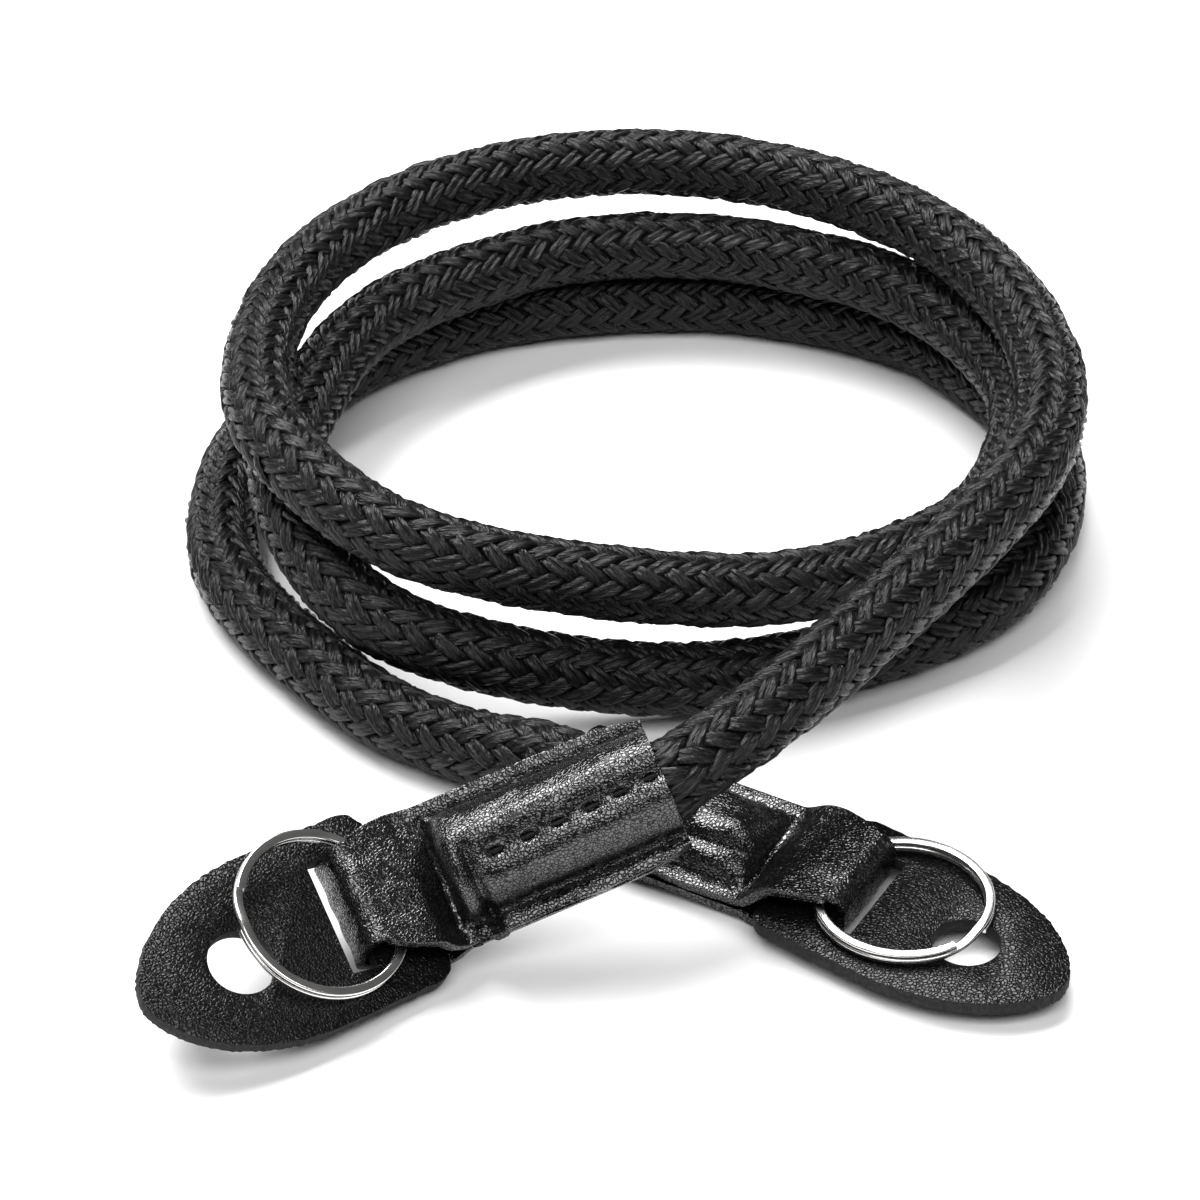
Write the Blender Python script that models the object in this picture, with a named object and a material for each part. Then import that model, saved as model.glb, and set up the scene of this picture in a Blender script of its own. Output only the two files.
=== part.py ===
"""A rope neck strap for a camera, coiled on a table in three turns.

At each tip of the rope a strip of leather is folded over it and stitched into a sleeve. Beyond
the rope the folded strip makes a loop, which runs through the slit of a guard pad and holds a
split ring on top of that pad. Everything is in metres with +Z up. The origin is on the table,
under the middle of the strap's footprint, and the leather ends lie towards -Y.
"""

from math import cos, pi, radians, sin, tau

import bmesh
import bpy
from mathutils import Euler, Matrix, Vector
from mathutils.geometry import interpolate_bezier

CLEARANCE = 0.0003  # left between two pieces, or two turns, that touch

# The rope: turns of a coil in steps of 30 degrees, and a few points towards each tip
ROPE_DIAMETER = 0.010
ROPE_POINT_SPACING = 0.0137
ROPE_STRAIGHT = 0.0025  # to either side of a sleeve's mouth
COIL_RADIUS = 0.055
COIL_CENTRE = Vector((-0.0054, 0.0366, 0.0))
COIL_STEP = radians(30)
COIL_START = 0.0
COIL = (  # radius / COIL_RADIUS, height of the middle / ROPE_DIAMETER
    (1.105, 2.575), (1.016, 2.577), (0.940, 2.568), (0.882, 2.571), (0.842, 2.569), (0.827, 2.573),
    (0.853, 2.561), (0.933, 2.596), (0.978, 2.377), (0.942, 1.989), (0.998, 1.645), (1.081, 1.530),
    (1.080, 1.533), (0.976, 1.529), (0.836, 1.530), (0.750, 1.530), (0.691, 1.529), (0.702, 1.533),
    (0.744, 1.521), (0.901, 1.560), (1.062, 1.315), (1.017, 0.760), (1.047, 0.517), (1.164, 0.517),
    (1.162, 0.517), (1.047, 0.517), (0.880, 0.517), (0.770, 0.517), (0.761, 0.517), (0.808, 0.517),
    (0.929, 0.517), (1.066, 0.517), (1.184, 0.517),
)
LEFT_RUN = (  # from the left sleeve's mouth up to the coil, from COIL_CENTRE
    Vector((0.0269, -0.0779, 0.0241)), Vector((0.0575, -0.0345, 0.0266)),
)
RIGHT_RUN = (  # from the coil to the right sleeve's mouth, from COIL_CENTRE
    Vector((-0.0190, -0.0669, 0.0051)),
)

# The leather strip of each end, folded at its nose
LEATHER = 0.0012
SLEEVE_LENGTH = 0.0295
SLEEVE_WIDTH = 0.0188
DOME_HALF_WIDTH = 0.0065
UNDERSIDE_BULGE = 0.0015
TAB_LENGTH = 0.0140
NOSE_RADIUS = 0.0012  # inside its two corners

# The guard pads
PAD_LENGTH = 0.0384
PAD_WIDTH = 0.0253
PAD_THICKNESS = 0.0018
PAD_STRAIGHT = 0.0171  # the length that keeps the full width
PAD_CORNER_RADIUS = 0.0030
PAD_BRIDGE = 0.0078  # from the straight end to the slit
PAD_HOLE_DIAMETER = 0.0085
PAD_HOLE_PLACE = 0.0245  # from the straight end to the hole's middle
PAD_TIP_POWER = 1.18  # 1 gives an ellipse, more a sharper tip
PAD_CORNER_STEPS = 4
PAD_TIP_STEPS = 14  # on each side
PAD_HOLE_SEGMENTS = 28
SLIT_WIDTH = 0.0034
SLIT_PLAY = 0.0009  # beside the tab, at each end of the slit

# The split rings, each a flat wire in two layers
RING_DIAMETER = 0.0226
RING_WIRE_WIDTH = 0.00125
RING_WIRE_HEIGHT = 0.00075
RING_LAYER_GAP = 0.00005
RING_CROSSING = radians(28)
RING_SEGMENTS = 40

# What follows from those sizes
ROPE_RADIUS = ROPE_DIAMETER / 2
LAYER_HALF_GAP = CLEARANCE / 2
ROPE_LIFT = ROPE_RADIUS + CLEARANCE - LAYER_HALF_GAP - UNDERSIDE_BULGE
RING_HEIGHT = 2 * RING_WIRE_HEIGHT + RING_LAYER_GAP
SNUG_LOOP = PAD_THICKNESS + RING_HEIGHT + 3 * CLEARANCE
FOLD_PLACE = SLEEVE_LENGTH + TAB_LENGTH - LEATHER  # inside of the fold

# The strip's width and fullness along a sleeve, and along the tab beyond it
FULL_SLEEVE = (  # place / SLEEVE_LENGTH, fullness of the dome, width / SLEEVE_WIDTH
    (0.00, 1.00, 0.88), (0.08, 1.00, 0.95), (0.22, 1.00, 1.00), (0.50, 1.00, 1.00), (0.78, 1.00, 1.00),
    (0.89, 1.00, 1.00), (0.94, 0.93, 1.00), (0.975, 0.72, 1.00), (1.00, 0.00, 1.00),
)
SLACK_SLEEVE = (  # the same, with the rope's tip short of the stitched end
    (0.10, 1.00, 0.88), (0.18, 1.00, 0.95), (0.30, 1.00, 1.00), (0.50, 1.00, 1.00), (0.58, 0.78, 1.00),
    (0.67, 0.50, 1.00), (0.90, 0.42, 1.00), (0.96, 0.30, 1.00), (1.00, 0.00, 1.00),
)
TAB = (  # place / TAB_LENGTH, share of its way that the upper and the lower layer has opened, width
    (0.035, 0.03, 0.027, 1.00), (0.065, 0.09, 0.103, 1.00), (0.083, 0.135, 0.194, 1.00),
    (0.121, 0.25, 0.472, 1.00), (0.161, 0.39, 0.769, 1.00), (0.190, 0.50, 0.983, 1.00),
    (0.24, 0.68, 1.00, 0.99), (0.33, 0.92, 1.00, 0.98), (0.43, 1.00, 1.00, 0.96), (0.60, 1.00, 1.00, 0.90),
    (0.76, 1.00, 1.00, 0.81),
)
DOME_END_WALL = 0.6  # of LEATHER
NOSE_WIDTH = 0.73
TAB_CURVED = 0.33  # share of the tab that bends
DOME_STEPS = 4  # from the dome's crest to its side
NOSE_STEPS = 3  # round each corner of the nose

ENDS = {
    "left": {
        "mouth": Vector((0.0081, -0.0930, 0.0186)),  # from COIL_CENTRE
        "heading": radians(-165.7), "dip": radians(18.0), "roll": radians(-37.5),
        "bend": radians(30.5), "twist": radians(10), "loop_play": 0.0013, "loop_drop": 0.68,
        "sleeve": FULL_SLEEVE, "rope_inside": 0.0250,
        "pad_turn": radians(10), "pad_slide": 0.0006,
        "ring_back": 0.0015, "ring_slide": 0.0010, "ring_dip": radians(-5.5), "ring_roll": radians(-3),
    },
    "right": {
        "mouth": Vector((-0.0041, -0.0743, 0.0033)),
        "heading": radians(-30), "dip": radians(0.3), "roll": radians(6),
        "bend": radians(0.5), "twist": radians(-5), "loop_play": 0.0003, "loop_drop": 0.27,
        "sleeve": SLACK_SLEEVE, "rope_inside": 0.0140,
        "pad_turn": radians(-7.5), "pad_slide": -0.0006,
        "ring_back": 0.0003, "ring_slide": -0.0007, "ring_dip": 0.0, "ring_roll": radians(0.5),
    },
}


def material(name, color, roughness, metallic=0.0):
    """A Principled material with one colour."""
    made = bpy.data.materials.new(name)
    made.use_nodes = True
    surface = made.node_tree.nodes["Principled BSDF"]
    surface.inputs["Base Color"].default_value = (*color, 1.0)
    surface.inputs["Roughness"].default_value = roughness
    surface.inputs["Metallic"].default_value = metallic
    return made


def add_object(name, data, finish):
    """Put a mesh or curve into the scene under its piece's name."""
    data.name = name
    data.materials.append(finish)
    made = bpy.data.objects.new(name, data)
    bpy.context.collection.objects.link(made)
    return made


def mesh_from(bm):
    """Turn a bmesh into a mesh with its faces pointing out, and free it."""
    bmesh.ops.recalc_face_normals(bm, faces=bm.faces)
    mesh = bpy.data.meshes.new("piece")
    bm.to_mesh(mesh)
    bm.free()
    return mesh


def loft(rings):
    """Join equal closed rings of points into one body, with a face over each end."""
    bm = bmesh.new()
    loops = [[bm.verts.new(point) for point in ring] for ring in rings]
    count = len(loops[0])
    for near, far in zip(loops, loops[1:]):
        for i in range(count):
            j = (i + 1) % count
            bm.faces.new((near[i], near[j], far[j], far[i]))
    bm.faces.new(loops[0])
    bm.faces.new(loops[-1])
    return mesh_from(bm)


def catmull_rom(points, steps=24):
    """A smooth curve through every point."""
    ends = [2 * points[0] - points[1], *points, 2 * points[-1] - points[-2]]
    curve = []
    for before, start, stop, after in zip(ends, ends[1:], ends[2:], ends[3:]):
        leave = start + (stop - before) / 6
        arrive = stop - (after - start) / 6
        curve += interpolate_bezier(start, leave, arrive, stop, steps)[:-1]
    return [*curve, points[-1]]


def evenly_spaced(curve, spacing):
    """Points along a curve, all the same distance apart."""
    total = sum((b - a).length for a, b in zip(curve, curve[1:]))
    step = total / round(total / spacing)
    points, travelled = [curve[0]], 0.0
    for a, b in zip(curve, curve[1:]):
        length = (b - a).length
        while travelled + length >= step * len(points) - 1e-9:
            points.append(a.lerp(b, (step * len(points) - travelled) / length))
        travelled += length
    return points


def end_frame(end, place):
    """The strip's frame at a place along it: X towards the nose, Y to a side, Z to the dome's side.

    The sleeve is straight. The tab bends and twists evenly where it leaves the sleeve.
    """
    turn = Euler((end["roll"], end["dip"], end["heading"])).to_matrix().to_4x4()
    frame = Matrix.Translation(COIL_CENTRE + end["mouth"]) @ turn
    frame = frame @ Matrix.Translation((min(place, SLEEVE_LENGTH), 0, 0))
    steps = 16
    curved = TAB_LENGTH * TAB_CURVED
    step = min(max(place - SLEEVE_LENGTH, 0), curved) / steps
    share = step / curved
    bend = Matrix.Rotation(-end["bend"] * share, 4, "Y") @ Matrix.Rotation(end["twist"] * share, 4, "X")
    for _ in range(steps):
        frame = frame @ Matrix.Translation((step, 0, 0)) @ bend
    return frame @ Matrix.Translation((max(place - SLEEVE_LENGTH - curved, 0), 0, 0))


def on_end(end, place, side, height):
    """A point of the strip's own space, in the scene."""
    return end_frame(end, place) @ Vector((0, side, height))


def flat_profile(width):
    """Half of a flat section, from its middle to its edge: side and rise."""
    columns = DOME_STEPS + 2
    return [(width / 2 * i / columns, 0.0) for i in range(columns + 1)]


def dome_profile(width, wall):
    """Half of a domed section, at a distance outside the rope's clearance."""
    half_width = DOME_HALF_WIDTH - LEATHER + wall
    half_height = ROPE_RADIUS + CLEARANCE + wall
    base = ROPE_LIFT - LAYER_HALF_GAP - wall
    arc = [pi / 2 * i / DOME_STEPS for i in range(DOME_STEPS + 1)]
    profile = [(half_width * sin(a), base + half_height * cos(a)) for a in arc]
    return [*profile, (half_width, 0.0), (width / 2, 0.0)]


def bulge_profile(width):
    """Half of the underside's shallow section."""
    return [
        (side, UNDERSIDE_BULGE * cos(pi / 2 * min(side / DOME_HALF_WIDTH, 1)) ** 2)
        for side, _ in flat_profile(width)
    ]


def blend(flat, full, share):
    """Part of the way from one half profile to another."""
    return [Vector(near).lerp(Vector(far), share) for near, far in zip(flat, full)]


def mirrored(half):
    """A whole section from its half, edge to edge."""
    return [(-side, rise) for side, rise in half[:0:-1]] + list(half)


def sleeve_sections(end, upper):
    """The strip's sections along the sleeve: place and points of the inner and the outer face."""
    sections = []
    sign = 1 if upper else -1
    for share, fullness, wide in end["sleeve"]:
        width = SLEEVE_WIDTH * wide
        flat = flat_profile(width)
        inner = dome_profile(width, 0.0) if upper else bulge_profile(width)
        outer = dome_profile(width, LEATHER) if upper else bulge_profile(width)
        place = SLEEVE_LENGTH * share
        end_wall = LEATHER * DOME_END_WALL * (1 - fullness) if upper else 0.0
        faces = []
        for profile, wall, back in ((inner, 0.0, end_wall), (outer, LEATHER, 0.0)):
            half = blend(flat, profile, fullness)
            layer = LAYER_HALF_GAP + wall
            faces.append([(place - back, side, sign * (layer + rise)) for side, rise in mirrored(half)])
        sections.append(faces)
    return sections


def offset_path(path, distance):
    """A path of the fold moved outward by a distance, corners mitred."""
    moved = []
    for i, point in enumerate(path):
        back = (point - path[max(i - 1, 0)]).normalized()
        on = (path[min(i + 1, len(path) - 1)] - point).normalized()
        heading = (back + on).normalized()
        turn = max(heading.dot(back), heading.dot(on))
        moved.append(point + Vector((-heading.y, heading.x)) * distance / turn)
    return moved


def loop_faces(end):
    """The heights of the loop's inside: its lower and its upper face."""
    height = SNUG_LOOP + end["loop_play"]
    low = -LAYER_HALF_GAP - (height - CLEARANCE) * end["loop_drop"]
    return low, low + height


def fold_sections(end):
    """The strip's sections from the sleeve's upper end, round the nose and back below."""
    low, high = loop_faces(end)
    path, widths = [], []
    for place, opened, _, wide in TAB:
        rise = LAYER_HALF_GAP + (high - LAYER_HALF_GAP) * opened
        path.append(Vector((SLEEVE_LENGTH + TAB_LENGTH * place, rise)))
        widths.append(SLEEVE_WIDTH * wide)
    corner = FOLD_PLACE - NOSE_RADIUS
    for middle, start in ((high - NOSE_RADIUS, pi / 2), (low + NOSE_RADIUS, 0.0)):
        for i in range(NOSE_STEPS + 1):
            angle = start - pi / 2 * i / NOSE_STEPS
            path.append(Vector((corner + NOSE_RADIUS * cos(angle), middle + NOSE_RADIUS * sin(angle))))
            widths.append(SLEEVE_WIDTH * NOSE_WIDTH)
    for place, _, opened, wide in reversed(TAB):
        fall = -LAYER_HALF_GAP + (low + LAYER_HALF_GAP) * opened
        path.append(Vector((SLEEVE_LENGTH + TAB_LENGTH * place, fall)))
        widths.append(SLEEVE_WIDTH * wide)
    layers = [Vector((SLEEVE_LENGTH, rise)) for rise in (LAYER_HALF_GAP, -LAYER_HALF_GAP)]
    outside = offset_path([layers[0], *path, layers[1]], LEATHER)[1:-1]
    sections = []
    for inner, outer, width in zip(path, outside, widths):
        sides = [side for side, _ in mirrored(flat_profile(width))]
        sections.append([[(face.x, side, face.y) for side in sides] for face in (inner, outer)])
    return sections


def build_leather_end(name, end, finish):
    """One strip of leather: over the rope, round the nose, and back under the rope."""
    sections = sleeve_sections(end, True) + fold_sections(end) + sleeve_sections(end, False)[::-1]
    rings = [[on_end(end, *point) for point in [*outer, *reversed(inner)]] for inner, outer in sections]
    return add_object(name, loft(rings), finish)


def rope_curve():
    """The rope's middle line, from its tip in the left sleeve to its tip in the right one."""
    points = []
    left, right = ENDS["left"], ENDS["right"]
    for place in (left["rope_inside"], left["rope_inside"] / 2, ROPE_STRAIGHT, -ROPE_STRAIGHT):
        points.append(on_end(left, place, 0, ROPE_LIFT))
    points += [COIL_CENTRE + point for point in LEFT_RUN]
    for i, (radius, height) in enumerate(COIL):
        angle = COIL_START + COIL_STEP * i
        across = COIL_RADIUS * radius
        up = ROPE_DIAMETER * height
        points.append(COIL_CENTRE + Vector((across * cos(angle), across * sin(angle), up)))
    points += [COIL_CENTRE + point for point in RIGHT_RUN]
    for place in (-ROPE_STRAIGHT, ROPE_STRAIGHT, right["rope_inside"]):
        points.append(on_end(right, place, 0, ROPE_LIFT))
    return catmull_rom(points)


def build_rope(finish):
    """One round tube along the whole route."""
    curve = bpy.data.curves.new("rope", "CURVE")
    curve.dimensions = "3D"
    curve.bevel_depth = ROPE_RADIUS
    curve.bevel_resolution = 3
    curve.use_fill_caps = True
    points = evenly_spaced(rope_curve(), ROPE_POINT_SPACING)
    spline = curve.splines.new("POLY")
    spline.points.add(len(points) - 1)
    for spot, point in zip(spline.points, points):
        spot.co = (*point, 1.0)
    return add_object("rope", curve, finish)


def pad_frame(end):
    """The pad's frame: origin at the middle of its straight end, on the face that guards the camera."""
    low, _ = loop_faces(end)
    at_slit = end_frame(end, FOLD_PLACE - NOSE_RADIUS / 2) @ Matrix.Translation((0, 0, low + CLEARANCE))
    turned = at_slit @ Matrix.Rotation(end["pad_turn"], 4, "Z")
    return turned @ Matrix.Translation((-PAD_BRIDGE, end["pad_slide"], 0))


def pad_outline():
    """The pad's edge: a straight end with round corners, and a blunt oval tip."""
    half, corner = PAD_WIDTH / 2, PAD_CORNER_RADIUS
    side = []
    for i in range(PAD_CORNER_STEPS + 1):
        angle = pi / 2 * i / PAD_CORNER_STEPS
        side.append((corner - corner * cos(angle), half - corner + corner * sin(angle)))
    for i in range(PAD_TIP_STEPS + 1):
        angle = pi / 2 * i / PAD_TIP_STEPS
        reach = PAD_STRAIGHT + (PAD_LENGTH - PAD_STRAIGHT) * sin(angle)
        side.append((reach, half * max(cos(angle), 0) ** PAD_TIP_POWER))
    return side + [(x, -y) for x, y in side[-2::-1]]


def cutter(name, mesh, frame):
    """A hidden body that is cut out of a pad."""
    made = bpy.data.objects.new(name, mesh)
    bpy.context.collection.objects.link(made)
    made.matrix_world = frame
    made.hide_render = True
    made.display_type = "WIRE"
    return made


def cut(target, tool):
    """Cut one body out of another."""
    difference = target.modifiers.new(tool.name, "BOOLEAN")
    difference.operation = "DIFFERENCE"
    difference.solver = "EXACT"
    difference.object = tool


def build_pad(side, end, finish):
    """A flat pad with a slit for the tab and a hole for the camera's strap eyelet."""
    frame = pad_frame(end)
    outline = pad_outline()
    rings = [[Vector((x, y, z)) for x, y in outline] for z in (0.0, PAD_THICKNESS)]
    pad = add_object(f"{side}_pad", loft(rings), finish)
    pad.matrix_world = frame

    hole = bmesh.new()
    bmesh.ops.create_cone(
        hole, cap_ends=True, segments=PAD_HOLE_SEGMENTS, depth=3 * PAD_THICKNESS,
        radius1=PAD_HOLE_DIAMETER / 2, radius2=PAD_HOLE_DIAMETER / 2,
    )
    hole_frame = frame @ Matrix.Translation((PAD_HOLE_PLACE, 0, PAD_THICKNESS / 2))
    cut(pad, cutter(f"{side}_hole", mesh_from(hole), hole_frame))

    slit_length = SLEEVE_WIDTH * NOSE_WIDTH + 2 * SLIT_PLAY
    slit_size = Matrix.Diagonal((SLIT_WIDTH, slit_length, 3 * PAD_THICKNESS, 1))
    slit = bmesh.new()
    bmesh.ops.create_cube(slit, size=1.0, matrix=slit_size)
    in_pad = frame @ Matrix.Translation((PAD_BRIDGE, 0, PAD_THICKNESS / 2))
    square_to_tab = Matrix.Rotation(-end["pad_turn"], 4, "Z") @ Matrix.Translation((SLIT_WIDTH / 2, 0, 0))
    cut(pad, cutter(f"{side}_slit", mesh_from(slit), in_pad @ square_to_tab))
    return pad


def ring_rise(angle):
    """How far the wire has climbed from the lower layer to the upper one."""
    share = min(max((angle - (tau - RING_CROSSING)) / RING_CROSSING, 0), 1)
    return (RING_WIRE_HEIGHT + RING_LAYER_GAP) * share * share * (3 - 2 * share)


def build_ring(side, end, finish):
    """A split ring on the pad, held by the tab's loop."""
    outer = RING_DIAMETER / 2
    middle = outer - RING_WIRE_WIDTH / 2
    half, tall = RING_WIRE_WIDTH / 2, RING_WIRE_HEIGHT / 2
    chamfer = tall / 2
    section = (
        (-half, -chamfer), (-half + chamfer, -tall), (half - chamfer, -tall), (half, -chamfer),
        (half, chamfer), (half - chamfer, tall), (-half + chamfer, tall), (-half, chamfer),
    )
    sweep = 2 * tau - RING_CROSSING
    count = 2 * RING_SEGMENTS
    rings = []
    for i in range(count + 1):
        angle = sweep * i / count
        rise = tall + ring_rise(angle)
        turn = Matrix.Rotation(angle, 3, "Z")
        rings.append([turn @ Vector((middle + out, 0, rise + up)) for out, up in section])
    ring = add_object(f"{side}_ring", loft(rings), finish)
    half_nose = SLEEVE_WIDTH * NOSE_WIDTH / 2
    bore = outer - RING_WIRE_WIDTH
    behind_fold = (bore * bore - half_nose * half_nose) ** 0.5
    back = outer - behind_fold + NOSE_RADIUS / 2 + CLEARANCE + end["ring_back"]
    low, high = loop_faces(end)
    height = (low + PAD_THICKNESS + CLEARANCE + high - RING_HEIGHT) / 2
    held = end_frame(end, FOLD_PLACE) @ Matrix.Translation((-back, end["ring_slide"], height))
    tilt = Euler((end["ring_roll"], end["ring_dip"], 0)).to_matrix().to_4x4()
    ring.matrix_world = held @ tilt @ Matrix.Translation((outer, 0, 0))
    return ring


def main():
    """Build the strap."""
    for old in list(bpy.data.objects):
        bpy.data.objects.remove(old, do_unlink=True)
    rope = material("black braided rope", (0.018, 0.018, 0.019), 0.55)
    leather = material("black leather", (0.016, 0.016, 0.017), 0.42)
    nickel = material("nickel plated wire", (0.78, 0.78, 0.77), 0.18, 1.0)
    build_rope(rope)
    for side, end in ENDS.items():
        build_leather_end(f"{side}_leather_end", end, leather)
        build_pad(side, end, leather)
        build_ring(side, end, nickel)


main()
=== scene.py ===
"""The looks of a rope neck strap for a camera, coiled on a pale table.

The rope is a braid of paired yarns along one route. At each of its tips a strip of leather is
folded over it, stitched, and looped through a guard pad and a split ring. Everything is in
metres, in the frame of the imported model, with +Z up.
"""

import logging
from contextlib import contextmanager
from dataclasses import dataclass, field
from enum import Enum
from math import cos, pi, radians, sin, tau
from typing import Any, Iterator, Sequence

import bpy
import numpy as np
from mathutils import Euler, Matrix, Vector
from mathutils.geometry import interpolate_bezier


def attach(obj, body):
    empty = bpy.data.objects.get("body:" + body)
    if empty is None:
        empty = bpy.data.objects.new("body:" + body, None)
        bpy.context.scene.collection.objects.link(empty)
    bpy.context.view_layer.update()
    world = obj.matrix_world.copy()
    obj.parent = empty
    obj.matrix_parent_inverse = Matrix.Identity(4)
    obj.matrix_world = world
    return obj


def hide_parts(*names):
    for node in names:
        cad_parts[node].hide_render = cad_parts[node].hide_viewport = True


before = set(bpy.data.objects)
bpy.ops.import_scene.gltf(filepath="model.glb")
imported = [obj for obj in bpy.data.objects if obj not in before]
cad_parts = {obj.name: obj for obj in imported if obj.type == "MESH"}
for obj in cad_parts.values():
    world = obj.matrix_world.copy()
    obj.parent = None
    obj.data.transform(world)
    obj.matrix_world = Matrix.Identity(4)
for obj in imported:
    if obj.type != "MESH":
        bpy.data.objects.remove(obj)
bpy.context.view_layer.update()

log = logging.getLogger("strap")

Array = np.ndarray
Curve = list[Vector]
Material = bpy.types.Material
Piece = bpy.types.Object
Socket = bpy.types.NodeSocket
Triple = tuple[float, float, float]


class Side(Enum):
    """The two leather ends, as the camera sees them."""

    LEFT = "left"
    RIGHT = "right"


class Yarn(Enum):
    """The way a strand winds round the rope."""

    RIGHT_HAND = 1
    LEFT_HAND = -1


# --- modelling by hand


def clear_selection() -> None:
    """Deselect every object."""
    bpy.ops.object.select_all(action="DESELECT")


def pick(piece: Piece) -> None:
    """Make one object the only selected one, and the active one.

    Args:
        piece: the object.
    """
    clear_selection()
    piece.select_set(True)
    bpy.context.view_layer.objects.active = piece


@contextmanager
def editing(piece: Piece) -> Iterator[None]:
    """Work on one mesh in edit mode, with all of it selected at first.

    Args:
        piece: the mesh object.

    Yields:
        Nothing, once the mesh is in edit mode.
    """
    pick(piece)
    bpy.ops.object.mode_set(mode="EDIT")
    bpy.ops.mesh.select_all(action="SELECT")
    yield
    bpy.ops.object.mode_set(mode="OBJECT")


def finish_with(piece: Piece, kind: str, **settings: Any) -> None:
    """Add one modifier to a piece and apply it.

    Args:
        piece: the mesh object.
        kind: the modifier's type.
        settings: its values by name.
    """
    pick(piece)
    bpy.ops.object.modifier_add(type=kind)
    modifier = piece.modifiers[-1]
    for name, value in settings.items():
        setattr(modifier, name, value)
    bpy.ops.object.modifier_apply(modifier=modifier.name)


def vectors(items: Any, name: str = "co") -> Array:
    """Read one vector from each item of a mesh.

    Args:
        items: its vertices or its vertex normals.
        name: the property that holds the vector.

    Returns:
        One row for each item.
    """
    flat = np.empty(len(items) * 3)
    items.foreach_get(name, flat)
    return flat.reshape(-1, 3)


def set_coordinates(piece: Piece, places: Array) -> None:
    """Move a mesh's vertices.

    Args:
        piece: the mesh object.
        places: one row for each vertex.
    """
    piece.data.vertices.foreach_set("co", np.ascontiguousarray(places).ravel())
    piece.data.update()


def place_in_mesh(piece: Piece, place: Matrix) -> None:
    """Move a mesh by a matrix, and leave its object at the origin.

    Args:
        piece: the mesh object.
        place: where the mesh goes.
    """
    piece.data.transform(place @ piece.matrix_world)
    piece.matrix_world = Matrix.Identity(4)
    piece.data.update()


def turn_of(roll: float, dip: float, heading: float = 0.0) -> Matrix:
    """A turn about X, then about Y and then about Z.

    Args:
        roll: degrees about X.
        dip: degrees about Y.
        heading: degrees about Z.

    Returns:
        The turn.
    """
    return Euler((radians(roll), radians(dip), radians(heading))).to_matrix().to_4x4()


def add_object(name: str, data: Any) -> Piece:
    """Put an object into the scene.

    Args:
        name: its name.
        data: its mesh, camera or light.

    Returns:
        The object.
    """
    made = bpy.data.objects.new(name, data)
    bpy.context.collection.objects.link(made)
    return made


def grid_of(name: str, points: Array) -> Piece:
    """Lay a grid primitive on a table of points. Its UV map runs across and along.

    Args:
        name: the piece's name.
        points: rows along, columns across, and three coordinates.

    Returns:
        The sheet.
    """
    rows, columns = points.shape[:2]
    clear_selection()
    bpy.ops.mesh.primitive_grid_add(x_subdivisions=columns - 1, y_subdivisions=rows - 1, size=2.0)
    piece = bpy.context.object
    piece.name = piece.data.name = name
    flat = vectors(piece.data.vertices)
    column = np.rint((flat[:, 0] + 1) / 2 * (columns - 1)).astype(int)
    row = np.rint((flat[:, 1] + 1) / 2 * (rows - 1)).astype(int)
    set_coordinates(piece, points[row, column])
    return piece


def tube_of(name: str, rings: Array) -> Piece:
    """Close a grid round a row of equal rings, and fill its two ends.

    Args:
        name: the piece's name.
        rings: rings along, points round each, and three coordinates.

    Returns:
        The closed tube.
    """
    piece = grid_of(name, np.concatenate([rings, rings[:, :1]], axis=1))
    with editing(piece):
        bpy.ops.mesh.remove_doubles(threshold=1e-7)
        bpy.ops.mesh.fill_holes(sides=0)
        bpy.ops.mesh.select_all(action="SELECT")
        bpy.ops.mesh.normals_make_consistent(inside=False)
    return piece


def smooth(piece: Piece, degrees: float) -> None:
    """Shade a piece smooth, except over edges sharper than an angle.

    Args:
        piece: the mesh object.
        degrees: the angle.
    """
    pick(piece)
    bpy.ops.object.shade_smooth_by_angle(angle=radians(degrees))


# --- lines and values


EASE_TAPS, EASE_SPAN = 9, 2.2  # how many readings make one value, and how soon their weight falls off


def eased(places: Array, known: Array, values: Array, width: float) -> Array:
    """Read between known values, with the corners rounded off.

    Args:
        places: where to read.
        known: where the values are known.
        values: the known values.
        width: how far to each side a corner is rounded.

    Returns:
        One value for each place.
    """
    spread = np.linspace(-1, 1, EASE_TAPS)
    weight = np.cos(spread * pi / EASE_SPAN) ** 2
    taps = [np.interp(places + width * step, known, values) for step in spread]
    return np.tensordot(weight / weight.sum(), np.array(taps), axes=1)


def read_rows(places: Array, known: Array, table: Array) -> Array:
    """Read between the rows of a table.

    Args:
        places: where to read.
        known: where each row is known.
        table: the rows.

    Returns:
        One row for each place.
    """
    return np.stack([np.interp(places, known, column) for column in table.T], axis=-1)


def travelled(line: Array) -> Array:
    """The way along a line to each of its points.

    Args:
        line: its points.

    Returns:
        One distance for each point.
    """
    return np.concatenate([[0.0], np.cumsum(np.linalg.norm(np.diff(line, axis=0), axis=1))])


def headings(line: Array) -> Array:
    """The direction of a line at each of its points.

    Args:
        line: its points.

    Returns:
        One unit vector for each point.
    """
    ahead = np.gradient(line, axis=0)
    return ahead / np.linalg.norm(ahead, axis=1)[:, None]


def leftward(line: Array) -> Array:
    """The direction to the left of a flat line at each of its points.

    Args:
        line: its points.

    Returns:
        One unit vector for each point.
    """
    ahead = headings(line)
    return np.stack([-ahead[:, 1], ahead[:, 0]], axis=1)


def bell(*distances: tuple[Array, float]) -> Array:
    """A bell, 1 in its middle.

    Args:
        distances: how far each point is from the middle, each way, and the bell's reach that way.

    Returns:
        One value for each point.
    """
    return np.exp(-sum((distance / reach) ** 2 for distance, reach in distances))


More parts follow.
